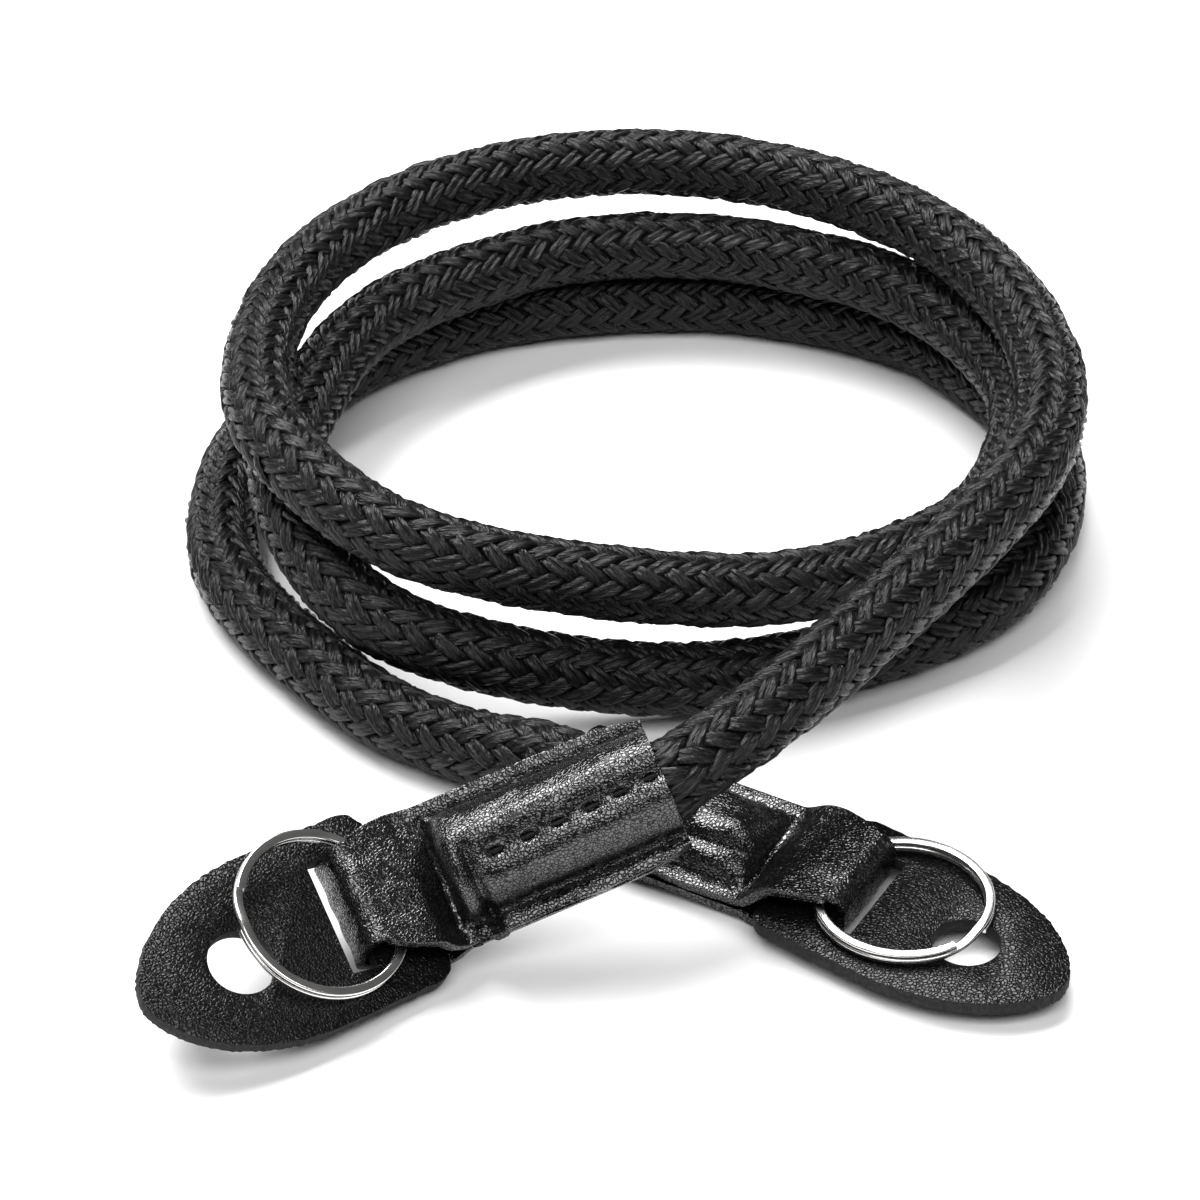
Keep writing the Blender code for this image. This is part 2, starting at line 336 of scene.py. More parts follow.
def fall(distance: Array, reach: float) -> Array:
    """A soft step from 1 down to 0.

    Args:
        distance: how far each point is past the step.
        reach: how soft it is.

    Returns:
        One value for each point.
    """
    return 1 / (1 + np.exp(distance / reach))


def wander(places: Array, waves: int, seed: int) -> Array:
    """A smooth uneven value, about -1 to 1, over points in space.

    Args:
        places: the points, in units of one wave.
        waves: how many plane waves are added.
        seed: the pattern's number.

    Returns:
        One value for each point.
    """
    dice = np.random.default_rng(seed)
    total = np.zeros(len(places))
    for _ in range(waves):
        way = dice.normal(size=3)
        total += np.sin(places @ way * pi + dice.uniform(0, tau))
    return total / waves ** 0.5


# --- finishes


class Bench:
    """A material on the bench: its nodes and the wires between them."""

    def __init__(self, name: str) -> None:
        """Start a Principled material.

        Args:
            name: the material's name.
        """
        self.material = bpy.data.materials.new(name)
        self.material.use_nodes = True
        self.tree = self.material.node_tree
        self.surface = self.tree.nodes["Principled BSDF"]

    def node(
        self, kind: str, inputs: dict[str, Any] | None = None, **settings: Any
    ) -> bpy.types.Node:
        """Add a node.

        Args:
            kind: its type.
            inputs: values or sockets for its inputs, by name or number.
            settings: its own properties.

        Returns:
            The node.
        """
        made = self.tree.nodes.new(kind)
        for name, value in settings.items():
            setattr(made, name, value)
        for name, value in (inputs or {}).items():
            self.feed(made.inputs[name], value)
        return made

    def feed(self, into: Socket, value: Any) -> None:
        """Give an input a value, or wire a socket to it.

        Args:
            into: the input.
            value: a number, a tuple or an output socket.
        """
        if isinstance(value, Socket):
            self.tree.links.new(value, into)
        else:
            into.default_value = value

    def noise(self, place: Socket, scale: float, detail: float, **more: float) -> Socket:
        """Add a noise, read at a place, with its other inputs by name."""
        inputs = {"Vector": place, "Scale": scale, "Detail": detail, **more}
        return self.node("ShaderNodeTexNoise", inputs).outputs["Fac"]

    def math(self, operation: str, *values: Any) -> Socket:
        """Reckon with numbers or sockets.

        Args:
            operation: the name of the sum.
            values: what it takes.

        Returns:
            The result's socket.
        """
        node = self.node("ShaderNodeMath", operation=operation)
        for into, value in zip(node.inputs, values):
            self.feed(into, value)
        return node.outputs[0]

    def spread(self, value: Socket, low: float, high: float, to_low: float, to_high: float) -> Socket:
        """Map one range of numbers onto another, held at its ends.

        Args:
            value: the number.
            low: where the first range starts.
            high: where it stops.
            to_low: the value there at the start.
            to_high: the value at the stop.

        Returns:
            The mapped number's socket.
        """
        inputs = {
            "Value": value, "From Min": low, "From Max": high, "To Min": to_low, "To Max": to_high,
        }
        return self.node("ShaderNodeMapRange", inputs).outputs["Result"]

    def blend(self, share: Any, first: Any, second: Any) -> Socket:
        """Mix two colours.

        Args:
            share: how much of the second.
            first: the first colour.
            second: the second colour.

        Returns:
            The mixed colour's socket.
        """
        node = self.node("ShaderNodeMix", data_type="RGBA")
        self.feed(node.inputs["Factor"], share)
        self.feed(node.inputs["A"], first)
        self.feed(node.inputs["B"], second)
        return node.outputs["Result"]

    def relief(
        self, height: Socket, depth: float, strength: float = 1.0, into: str = "Normal"
    ) -> None:
        """Let a height shape the surface's light.

        Args:
            height: from 0 to 1.
            depth: how deep that is, in metres.
            strength: how much of it is felt.
            into: the shader's input that it shapes.
        """
        inputs = {"Height": height, "Distance": depth, "Strength": strength}
        bump = self.node("ShaderNodeBump", inputs)
        self.feed(self.surface.inputs[into], bump.outputs["Normal"])

    def set(self, **values: Any) -> None:
        """Fill the shader's own inputs, with _ for a space in their names."""
        for name, value in values.items():
            self.feed(self.surface.inputs[name.replace("_", " ")], value)


def grey(value: float, warmth: float = 0.0) -> tuple[float, float, float, float]:
    """A neutral colour.

    Args:
        value: how light it is.
        warmth: how much red is over blue.

    Returns:
        Red, green, blue and alpha.
    """
    return (value * (1 + warmth / 2), value, value * (1 - warmth / 2), 1.0)


@dataclass(frozen=True)
class BraidYarn:
    """Black nylon filament, laid side by side in a yarn, with a satin sheen."""

    # dark and light bound the colour: painted shade between the filaments, painted light on their
    # crests, scaled by a random tone for each float.
    dark: float = 0.0012
    light: float = 0.0095
    filaments: float = 7.5
    twist: float = 0.30
    depth: float = 0.00017

    def make(self) -> Material:
        """Mix the material.

        Returns:
            The material, which follows the UV map and the attribute "shade".
        """
        bench = Bench("black nylon yarn")
        uv = bench.node("ShaderNodeUVMap", uv_map="UVMap").outputs["UV"]
        shade = bench.node("ShaderNodeAttribute", attribute_name="shade").outputs["Fac"]
        shift = bench.node("ShaderNodeCombineXYZ", {"X": 0.0, "Y": shade, "Z": shade}).outputs[0]
        moved = bench.node("ShaderNodeVectorMath", {0: uv, 1: shift}, operation="ADD").outputs[0]
        turned = bench.node("ShaderNodeMapping", {"Vector": moved, "Rotation": (0, 0, self.twist)})
        scale = (self.filaments, 1.7, 7.0)
        scaled = bench.node("ShaderNodeMapping", {"Vector": turned.outputs[0], "Scale": scale})
        threads = bench.noise(scaled.outputs[0], 1.0, 2.0, Roughness=0.6)
        clumps = bench.noise(moved, 3.2, 1.0)
        height = bench.spread(threads, 0.3, 0.7, 0.0, 1.0)
        # Painted shade and painted light: darker between the filaments and lighter on their crests,
        # following the relief, times each float's random tone.
        tone = bench.math("MULTIPLY", height, bench.spread(shade, 0, 1, 0.35, 1))
        bench.set(
            Base_Color=bench.blend(tone, grey(self.dark), grey(self.light, 0.03)),
            Roughness=bench.spread(clumps, 0.35, 0.7, 0.28, 0.42), Specular_IOR_Level=0.27,
        )
        bench.relief(height, self.depth)
        return bench.material


@dataclass(frozen=True)
class RopeHeart:
    """The dark inside of the rope between its yarns."""

    colour: float = 0.002

    def make(self) -> Material:
        """Mix the material.

        Returns:
            The material.
        """
        bench = Bench("dark rope core")
        place = bench.node("ShaderNodeTexCoord").outputs["Object"]
        fibre = bench.noise(place, 2400.0, 2.0)
        bench.set(
            Base_Color=bench.blend(fibre, grey(self.colour / 2), grey(self.colour)),
            Roughness=0.85, Specular_IOR_Level=0.2,
        )
        bench.relief(fibre, 0.0001)
        return bench.material


@dataclass(frozen=True)
class PebbledLeather:
    """Black leather with a pebbled grain, glossy on its crowns and dull in its creases, which are
    painted darker as painted shade.

    Attributes:
        name: the material's name.
        crease_shade: its colour in the creases, painted darker as painted shade.
        crown: its tone on the pebbles.
        pebbles: how many pebbles there are in a metre.
        depth: how deep the creases are.
        pull: how far the pebbles' pattern is pulled about.
        gloss: how rough its dull part is.
        shine: how much of its polish shows on the pebbles.
        polish: the polish's index of refraction.
    """

    name: str = "black pebbled leather"
    crease_shade: float = 0.0008
    crown: float = 0.0034
    pebbles: float = 2050.0
    depth: float = 0.00010
    pull: float = 0.0007
    gloss: float = 0.30
    shine: float = 1.0
    polish: float = 1.85

    def make(self) -> Material:
        """Mix the material.

        Returns:
            The material, on Object coordinates.
        """
        bench = Bench(self.name)
        place = bench.node("ShaderNodeTexCoord").outputs["Object"]
        drift = bench.node(
            "ShaderNodeTexNoise", {"Vector": place, "Scale": 900.0, "Detail": 2.0}
        ).outputs["Color"]
        pulled = bench.node(
            "ShaderNodeVectorMath", {0: drift, 3: self.pull}, operation="SCALE"
        ).outputs[0]
        bent = bench.node("ShaderNodeVectorMath", {0: place, 1: pulled}, operation="ADD").outputs[0]
        cells = {"Vector": bent, "Scale": self.pebbles}
        seams = bench.node(
            "ShaderNodeTexVoronoi", cells, feature="DISTANCE_TO_EDGE"
        ).outputs["Distance"]
        pores = bench.noise(place, 5200.0, 1.0)
        crown = bench.spread(seams, 0.01, 0.24, 0.0, 0.84)
        height = bench.math("ADD", crown, bench.spread(pores, 0.3, 0.7, 0.0, 0.10))
        worn = bench.noise(place, 160.0, 3.0)
        # Base colour: painted shade, darker in the creases between the pebbles than on their crowns.
        bench.set(
            Base_Color=bench.blend(height, grey(self.crease_shade), grey(self.crown, 0.02)),
            Roughness=bench.math(
                "ADD", bench.spread(worn, 0.35, 0.7, self.gloss - 0.03, self.gloss + 0.08),
                bench.spread(height, 0.0, 0.8, 0.20, 0.0),
            ),
            Specular_IOR_Level=0.06, Coat_Roughness=0.15, Coat_IOR=self.polish,
            Coat_Weight=bench.spread(height, 0.15, 0.6, 0.15 * self.shine, self.shine),
        )
        bench.relief(height, self.depth)
        bench.relief(height, self.depth * 0.38, into="Coat Normal")
        return bench.material


@dataclass(frozen=True)
class RawEdge:
    """The cut side of the leather: matt, fibrous and a little lighter than its face."""

    dark: float = 0.006
    light: float = 0.020

    def make(self) -> Material:
        """Mix the material.

        Returns:
            The material, on Object coordinates.
        """
        bench = Bench("raw leather edge")
        place = bench.node("ShaderNodeTexCoord").outputs["Object"]
        fibre = bench.noise(place, 1900.0, 4.0, Roughness=0.65)
        broad = bench.spread(bench.noise(place, 420.0, 2.0), 0.3, 0.7, 0.4, 1)
        tone = bench.math("MULTIPLY", bench.spread(fibre, 0.3, 0.7, 0, 1), broad)
        bench.set(
            Base_Color=bench.blend(tone, grey(self.dark), grey(self.light)),
            Roughness=bench.spread(fibre, 0.3, 0.7, 0.9, 0.66), Specular_IOR_Level=0.35,
        )
        bench.relief(fibre, 0.00016)
        return bench.material


@dataclass(frozen=True)
class WaxedThread:
    """Black waxed thread, twisted from plies."""

    colour: float = 0.005

    def make(self) -> Material:
        """Mix the material.

        Returns:
            The material, which follows the UV map.
        """
        bench = Bench("black waxed thread")
        uv = bench.node("ShaderNodeUVMap", uv_map="UVMap").outputs["UV"]
        turn = {"Vector": uv, "Rotation": (0, 0, 0.7), "Scale": (9.0, 9.0, 1.0)}
        ply = bench.node("ShaderNodeMapping", turn)
        twist = bench.node(
            "ShaderNodeTexWave", {"Vector": ply.outputs[0], "Scale": 1.2, "Distortion": 0.6}
        ).outputs["Fac"]
        bench.set(
            Base_Color=bench.blend(twist, grey(self.colour / 2), grey(self.colour)),
            Roughness=bench.spread(twist, 0, 1, 0.6, 0.38),
        )
        bench.relief(twist, 0.00006)
        return bench.material


@dataclass(frozen=True)
class NickelPlate:
    """Polished nickel with faint polishing marks."""

    colour: float = 0.80
    polish: float = 0.15

    def make(self) -> Material:
        """Mix the material.

        Returns:
            The material, on Object coordinates.
        """
        bench = Bench("polished nickel plate")
        place = bench.node("ShaderNodeTexCoord").outputs["Object"]
        cloud = bench.noise(place, 240.0, 3.0)
        marks = bench.noise(place, 5200.0, 1.0)
        bench.set(
            Base_Color=bench.blend(cloud, grey(self.colour * 0.93, 0.03), grey(self.colour, 0.03)),
            Metallic=1.0, Roughness=bench.spread(cloud, 0.3, 0.7, self.polish, self.polish + 0.08),
        )
        bench.relief(marks, 0.000006, 0.6)
        return bench.material


@dataclass
class FinishSet:
    """One of each finish, mixed once."""

    yarn: Material = field(default_factory=BraidYarn().make)
    heart: Material = field(default_factory=RopeHeart().make)
    leather: Material = field(default_factory=PebbledLeather().make)
    pad_leather: Material = field(
        default_factory=PebbledLeather("black pebbled pad leather", shine=0.6, polish=1.5).make
    )
    edge: Material = field(default_factory=RawEdge().make)
    thread: Material = field(default_factory=WaxedThread().make)
    nickel: Material = field(default_factory=NickelPlate().make)


def dress(piece: Piece, nodes: Sequence[str], finishes: Sequence[Any]) -> None:
    """Give a piece its finishes, and tie it to the model.

    Args:
        piece: the piece.
        nodes: the CAD nodes that it stands for.
        finishes: its materials in the order of its slots.
    """
    piece.data.materials.clear()
    for finish in finishes:
        piece.data.materials.append(finish)
    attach(piece, "root")
    if nodes:
        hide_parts(*nodes)
    log.info("%s: %d faces", piece.name, len(piece.data.polygons))


# --- the rope


ROPE_POINTS = (  # from the tip in the left sleeve to the tip in the right one
    (-0.02066, -0.06465, 0.01363), (-0.00914, -0.06171, 0.01749), (0.00008, -0.05936, 0.02058),
    (0.00469, -0.05819, 0.02213), (0.02150, -0.04130, 0.02410), (0.05210, 0.00210, 0.02660),
    (0.05538, 0.03660, 0.02575), (0.04299, 0.06454, 0.02577), (0.02045, 0.08137, 0.02568),
    (-0.00540, 0.08511, 0.02571), (-0.02856, 0.07671, 0.02569), (-0.04479, 0.05934, 0.02573),
    (-0.05231, 0.03660, 0.02561), (-0.04984, 0.01094, 0.02596), (-0.03229, -0.00998, 0.02377),
    (-0.00540, -0.01521, 0.01989), (0.02204, -0.01094, 0.01645), (0.04609, 0.00687, 0.01530),
    (0.05400, 0.03660, 0.01533), (0.04109, 0.06344, 0.01529), (0.01759, 0.07642, 0.01530),
    (-0.00540, 0.07785, 0.01530), (-0.02440, 0.06951, 0.01529), (-0.03884, 0.05590, 0.01533),
    (-0.04632, 0.03660, 0.01521), (-0.04832, 0.01182, 0.01560), (-0.03461, -0.01398, 0.01315),
    (-0.00540, -0.01933, 0.00760), (0.02339, -0.01327, 0.00517), (0.05004, 0.00459, 0.00517),
    (0.05851, 0.03660, 0.00517), (0.04447, 0.06539, 0.00517), (0.01880, 0.07852, 0.00517),
    (-0.00540, 0.07895, 0.00517), (-0.02633, 0.07285, 0.00517), (-0.04389, 0.05882, 0.00517),
    (-0.05650, 0.03660, 0.00517), (-0.05618, 0.00729, 0.00517), (-0.03796, -0.01980, 0.00517),
    (-0.02440, -0.03030, 0.00510), (-0.01184, -0.03679, 0.00694), (-0.00751, -0.03929, 0.00692),
    (0.00245, -0.04504, 0.00686),
)


CURVE_STEPS = 24


def catmull_rom(points: Curve) -> Curve:
    """A smooth curve through every point.

    Args:
        points: the points.

    Returns:
        The curve.
    """
    ends = [2 * points[0] - points[1], *points, 2 * points[-1] - points[-2]]
    curve: Curve = []
    for before, start, stop, after in zip(ends, ends[1:], ends[2:], ends[3:]):
        leave = start + (stop - before) / 6
        arrive = stop - (after - start) / 6
        curve += interpolate_bezier(start, leave, arrive, stop, CURVE_STEPS)[:-1]
    return [*curve, points[-1]]


@dataclass
class RopeRoute:
    """A line in space with an even measure along it and a frame that doesn't twist.

    Attributes:
        points: what the line goes through.
        spacing: the distance between its measured samples.
    """

    points: Sequence[Triple] = ROPE_POINTS
    spacing: float = 0.0005

    def __post_init__(self) -> None:
        """Measure the line and carry a frame along it."""
        points = catmull_rom([Vector(point) for point in self.points])
        curve = np.array([tuple(point) for point in points])
        way_along = travelled(curve)
        self.length = float(way_along[-1])
        self.marks = np.linspace(0, self.length, round(self.length / self.spacing) + 1)
        self.line = read_rows(self.marks, way_along, curve)
        heading = headings(self.line)
        side = np.cross((0, 0, 1), heading[0])
        sides = []
        for way in heading:
            side = side - way * (side @ way)
            side = side / np.linalg.norm(side)
            sides.append(side)
        self.sides = np.array(sides)
        self.ups = np.cross(heading, self.sides)

    def around(self, places: Array, angles: Array, radii: Array) -> Array:
        """Points round the line.

        Args:
            places: distances from the start.
            angles: turns about the line.
            radii: distances from the line.

        Returns:
            The points.
        """
        middle, side, up = (
            read_rows(places, self.marks, table) for table in (self.line, self.sides, self.ups)
        )
        outward = np.cos(angles)[..., None] * side + np.sin(angles)[..., None] * up
        return middle + radii[..., None] * outward


@dataclass
class BraidedRope:
    """A round braid of 24 strands, each a pair of yarns, that go over two and under two.

    Attributes:
        finishes: the finishes.
        diameter: over the yarns.
        crossing: the distance along the rope from one crossing to the next.
        strands: the number of strands that wind each way.
        strand_width: one strand's width.
        tuck: how far a float goes on under its neighbours, in crossings.
        stagger: how far one yarn of a pair runs ahead of the other, in half floats.
        table_play: how low a yarn may lie.
        heart_radius: the dark core's radius.
        heart_sides: how many sides the core has.
        heart_spacing: how far apart its rings are.
        heart_start: how far it stops short of the rope's tips.
        cord_step: not used.
        seed: the number of the braid's unevenness.
        uneven: how much the floats differ in plumpness, lean and tilt.
        route: the rope's line.
    """

    finishes: FinishSet
    diameter: float = 0.010
    crossing: float = 0.00197
    strands: int = 12
    strand_width: float = 0.00220
    tuck: float = 0.42
    stagger: float = 0.035
    table_play: float = 0.00003
    heart_radius: float = 0.0042
    heart_sides: int = 12
    heart_spacing: float = 0.003
    heart_start: float = 0.0005
    cord_step: int = 4
    seed: int = 16
    uneven: Triple = (0.00007, 0.06, 0.10)
    route: RopeRoute = field(default_factory=RopeRoute)

    ACROSS = (  # side in half widths, and rise in millimetres
        (-1.0, -0.46), (-0.86, -0.04), (-0.54, 0.14), (-0.18, 0.02), (0.0, -0.16), (0.18, 0.02),
        (0.54, 0.14), (0.86, -0.04), (1.0, -0.46),
    )
    ALONG = (  # place in half lengths, and dive in millimetres
        (-1.0, -1.10), (-0.82, -0.66), (-0.64, -0.24), (-0.28, -0.01), (0.28, -0.01), (0.64, -0.24),
        (0.82, -0.66), (1.0, -1.10),
    )

    def __post_init__(self) -> None:
        """Work out a strand's way along in one turn, and its angle to the rope."""
        self.lead = 2 * self.strands * self.crossing
        self.slope = float(np.arctan2(tau * self.diameter / 2, self.lead))

    def model_float(self) -> tuple[Array, Array, Array]:
        """Model the stretch of a strand that lies over two others.

        Returns:
            Its points (across, along, out), its faces and its UV map by vertex.
        """
        half_length = (1 + self.tuck) * self.crossing / cos(self.slope)
        half_width = self.strand_width / 2
        points = np.array([
            [
                (side * half_width, (along + self.stagger * side) * half_length, (rise + dive) / 1000)
                for side, rise in self.ACROSS
            ]
            for along, dive in self.ALONG
        ])
        model = grid_of("strand_float", points)
        shape = vectors(model.data.vertices)
        faces = np.array([list(face.vertices) for face in model.data.polygons])
        uv = np.zeros((len(shape), 2))
        for loop, place in zip(model.data.loops, model.data.uv_layers.active.data):
            uv[loop.vertex_index] = place.uv
        uv[:, 1] *= 2 * half_length / self.strand_width
        bpy.data.objects.remove(model, do_unlink=True)
        return shape, faces, uv

    def floats(self) -> Iterator[tuple[int, float, float]]:
        """Every float of the braid.

        Yields:
            The way it winds, its middle along the rope and its angle round it.
        """
        for number in range(1, int(self.route.length / self.crossing) - 2):
            middle = (number + 0.5) * self.crossing
            turned = tau * middle / self.lead
            for strand in range(self.strands):
                start = tau * strand / self.strands
                if (number + 2 * strand) % 4 == 0:
                    yield Yarn.RIGHT_HAND.value, middle, start + turned
                if (2 * strand - number) % 4 == 3:
                    yield Yarn.LEFT_HAND.value, middle, start - turned

    def build_braid(self, name: str, hand: Yarn) -> Piece:
        """Copy the float along the whole rope, for the strands that wind one way.

        Args:
            name: the piece's name.
            hand: the way they wind.

        Returns:
            The yarns as one mesh with a UV map and a shade for each float.
        """
        shape, faces, uv = self.model_float()
        rows = np.array([row for row in self.floats() if row[0] == hand.value])
        dice = np.random.default_rng(self.seed + hand.value)
        shade = dice.uniform(0, 1, len(rows))
        plump, lean, tilt = (dice.normal(0, size, (len(rows), 1)) for size in self.uneven)
        way, middle, angle = (rows[:, i][:, None] for i in range(3))
        across, along, out = shape[:, 0][None], shape[:, 1][None], shape[:, 2][None]
        out = out + tilt * across
        across = across + along * lean
        crest = max(rise for _, rise in self.ACROSS) / 1000
        radius = self.diameter / 2 - crest
        places = middle + along * cos(self.slope) - way * across * sin(self.slope)
        angles = angle + (way * along * sin(self.slope) + across * cos(self.slope)) / radius
        points = self.route.around(places, angles, radius + out + plump)
        points[..., 2] = np.maximum(points[..., 2], self.table_play)
        mesh = bpy.data.meshes.new(name)
        count = len(shape)
        offsets = (np.arange(len(rows)) * count)[:, None, None]
        all_faces = (faces[None] + offsets).reshape(-1, faces.shape[1])
        mesh.from_pydata(points.reshape(-1, 3), [], all_faces)
        layer = mesh.uv_layers.new(name="UVMap")
        layer.data.foreach_set("uv", np.tile(uv, (len(rows), 1))[all_faces.ravel()].ravel())
        tone = mesh.attributes.new("shade", "FLOAT", "POINT")
        tone.data.foreach_set("value", np.repeat(shade, count))
        mesh.shade_smooth()
        return add_object(name, mesh)

    def build_heart(self) -> Piece:
        """Lay the dark tube that shows between the yarns.

        Returns:
            The tube.
        """
        length, start = self.route.length, self.heart_start
        places = np.linspace(start, length - start, round(length / self.heart_spacing))
        angles = np.arange(self.heart_sides) / self.heart_sides * tau
        spread, turns = np.meshgrid(places, angles, indexing="ij")
        radii = np.full(spread.shape, self.heart_radius)
        tube = tube_of("rope_core", self.route.around(spread, turns, radii))
        smooth(tube, 60)
        return tube

    def build(self) -> None:
        braid = self.build_braid("rope_braid", Yarn.RIGHT_HAND)
        dress(braid, ["rope"], [self.finishes.yarn])
        cross = self.build_braid("rope_cross_braid", Yarn.LEFT_HAND)
        dress(cross, ["rope"], [self.finishes.yarn])
        heart = self.build_heart()
        dress(heart, ["rope"], [self.finishes.heart])


# --- the leather ends


@dataclass(frozen=True)
class EndPose:
    """Where one end of the strap lies and how it is bent.

    Attributes:
        mouth: the middle of the sleeve's open end, on the seam between its layers.
        heading: turn about Z.
        dip: turn about the sleeve's side.
        roll: turn about the sleeve's length.
        bend: how far the tab bends down.
        twist: how far it twists.
        loop_play: room in the loop over a snug fit.
        loop_drop: share of the loop that lies below the seam.
        pad_turn: turn of the pad in the loop.
        pad_slide: the pad's place across the loop.
        ring_back: the ring's place along the loop.
        ring_slide: the ring's place across the loop.
        ring_dip: the ring's lean.
        ring_roll: the ring's lean to a side.
    """

    mouth: Triple
    heading: float
    dip: float
    roll: float
    bend: float
    twist: float
    loop_play: float
    loop_drop: float
    pad_turn: float
    pad_slide: float
    ring_back: float
    ring_slide: float
    ring_dip: float
    ring_roll: float


END_POSES = {
    Side.LEFT: EndPose(
        mouth=(0.0027, -0.0564, 0.0186), heading=-165.7, dip=18.0, roll=-37.5, bend=30.5, twist=10.0,
        loop_play=0.0013, loop_drop=0.68, pad_turn=10.0, pad_slide=0.0006,
        ring_back=0.0015, ring_slide=0.0010, ring_dip=-5.5, ring_roll=-3.0,
    ),
    Side.RIGHT: EndPose(
        mouth=(-0.0095, -0.0377, 0.0033), heading=-30.0, dip=0.3, roll=6.0, bend=0.5, twist=-5.0,
        loop_play=0.0003, loop_drop=0.27, pad_turn=-7.5, pad_slide=-0.0006,
        ring_back=0.0003, ring_slide=-0.0007, ring_dip=0.0, ring_roll=0.5,
    ),
}


@dataclass
class LeatherEnd:
    """A strip of leather folded over the rope's tip, stitched, and looped at its nose.

    Attributes:
        side: which end it is.
        finishes: the finishes.
    """

    side: Side
    finishes: FinishSet
    leather: float = 0.0012
    clearance: float = 0.0003
    rope_radius: float = 0.005
    sleeve_length: float = 0.0295
    sleeve_width: float = 0.0188
    dome_half_width: float = 0.0065
    bulge: float = 0.0015
    tab_length: float = 0.0140
    tab_curved: float = 0.33
    nose_radius: float = 0.0012
    nose_width: float = 0.73
    pad_thickness: float = 0.0018
    ring_height: float = 0.00155
    half_columns: int = 30
    station_spacing: float = 0.00045
    groove_side: float = 0.0074
    groove_past: float = 0.0005
    stitch_pitch: float = 0.0028
    stitch_length: float = 0.0019
    thread: float = 0.00048
    bend_steps: int = 16
    domed_share: float = 0.93
    cross_seam_place: float = 0.0301
    dent_sink: float = 0.00078
    stitch_sink: float = 0.00012
    stitch_sag: float = 0.10
    seam_margin: float = 0.0006
    full_ease: float = 0.018
    width_ease: float = 0.05
    end_ease: float = 0.012
    arc_steps: int = 24
    nose_steps: int = 8
    bevel: float = 0.00013

    SLEEVES = {  # rows of place, fullness of the dome and width, as shares of the whole
        Side.LEFT: (
            (0.00, 1.00, 0.88), (0.08, 1.00, 0.95), (0.22, 1.00, 1.00), (0.50, 1.00, 1.00),
            (0.89, 1.00, 1.00), (0.935, 0.97, 1.00), (0.97, 0.80, 1.00), (1.00, 0.00, 1.00),
        ),
        Side.RIGHT: (
            (0.10, 1.00, 0.88), (0.18, 1.00, 0.95), (0.30, 1.00, 1.00), (0.50, 1.00, 1.00),
            (0.58, 0.78, 1.00), (0.67, 0.50, 1.00), (0.90, 0.42, 1.00), (0.96, 0.30, 1.00),
            (1.00, 0.00, 1.00),
        ),
    }
    TAB = (  # place along the tab, how far the upper and the lower layer have opened, and width
        (0.00, 0.00, 0.00, 1.00), (0.035, 0.03, 0.027, 1.00), (0.065, 0.09, 0.103, 1.00),
        (0.083, 0.135, 0.194, 1.00), (0.121, 0.25, 0.472, 1.00), (0.161, 0.39, 0.769, 1.00),
        (0.19, 0.50, 0.983, 1.00), (0.24, 0.68, 1.00, 0.99), (0.33, 0.92, 1.00, 0.98),
        (0.43, 1.00, 1.00, 0.96), (0.60, 1.00, 1.00, 0.90), (0.76, 1.00, 1.00, 0.81),
        (0.90, 1.00, 1.00, 0.73), (1.00, 1.00, 1.00, 0.73),
    )
    TAB_EASE = (0.05, 0.03, 0.06)  # how far the corners of the last three columns are rounded
    LUMPS = (  # the slack sleeve: place, side, reach along, reach across and height, in millimetres
        (25.4, -1.6, 3.2, 2.1, 0.95), (25.2, -5.9, 3.4, 1.0, 0.50), (19.0, 1.5, 2.6, 3.0, -0.35),
        (27.0, 4.6, 2.4, 1.6, -0.45), (28.6, -5.2, 0.9, 0.9, 0.25),
    )
    DENTS = (  # place and side of each stitch on the full sleeve's dome, in millimetres
        (22.2, 1.6), (17.9, 1.5), (13.9, 1.4), (9.5, 1.2), (5.6, 0.9), (1.6, 0.6),
    )
    DENT = (  # one of them: reach along, side, reach across and height, in millimetres
        (1.0, 0.0, 0.62, -0.70), (1.7, 1.0, 0.6, 0.16),
    )
    RIDGES = (  # beside the full dome's middle: side, reach, height in millimetres, ends at the pleat
        (0.0, 1.75, -0.85, True), (-3.6, 1.2, 0.22, False), (2.7, 1.0, 0.24, True),
    )
    PLEATS = ((25.7, 0.60, -1.10), (27.5, 0.85, 0.40))  # place, reach and height, in millimetres
    FOOT = ((0.00005, 0.55), (0.00022, 0.26), (0.0005, 0.09))  # past the dome, and rise as a share
    SEAM_STARTS = {Side.LEFT: 0.0016, Side.RIGHT: 0.0046}
    CROSS_SEAM_SIDES = (-0.0056, 0.0060)
    GROOVE_REACH, GROOVE_DEPTH, GROOVE_BEAT = 0.34, 0.42, 0.28  # millimetres, and the depth's change
    CROSS_SEAM = (30.1, 0.38, 0.34, 7.6)  # place, reach, depth and half width, in millimetres
    UNEVEN = (  # wave in metres, number of waves, height in millimetres and seeds
        (0.0062, 7, 0.09, {Side.LEFT: 3, Side.RIGHT: 6}),
        (0.0021, 9, 0.035, {Side.LEFT: 11, Side.RIGHT: 11}),
    )
    EDGE_FADE, EDGE_SHARE = 0.0006, 0.35  # how near the edge the relief fades, and what is left of it

    def __post_init__(self) -> None:
        """Work out what follows from the sizes."""
        self.pose = END_POSES[self.side]
        self.half_gap = self.clearance / 2
        self.rope_lift = self.rope_radius + self.clearance - self.half_gap - self.bulge
        self.fold_place = self.sleeve_length + self.tab_length - self.leather
        self.dome_base = self.rope_lift - self.half_gap - self.leather
        self.dome_tall = self.rope_radius + self.clearance + self.leather
        height = self.pad_thickness + self.ring_height + 3 * self.clearance + self.pose.loop_play
        self.low = -self.half_gap - (height - self.clearance) * self.pose.loop_drop
        self.high = self.low + height

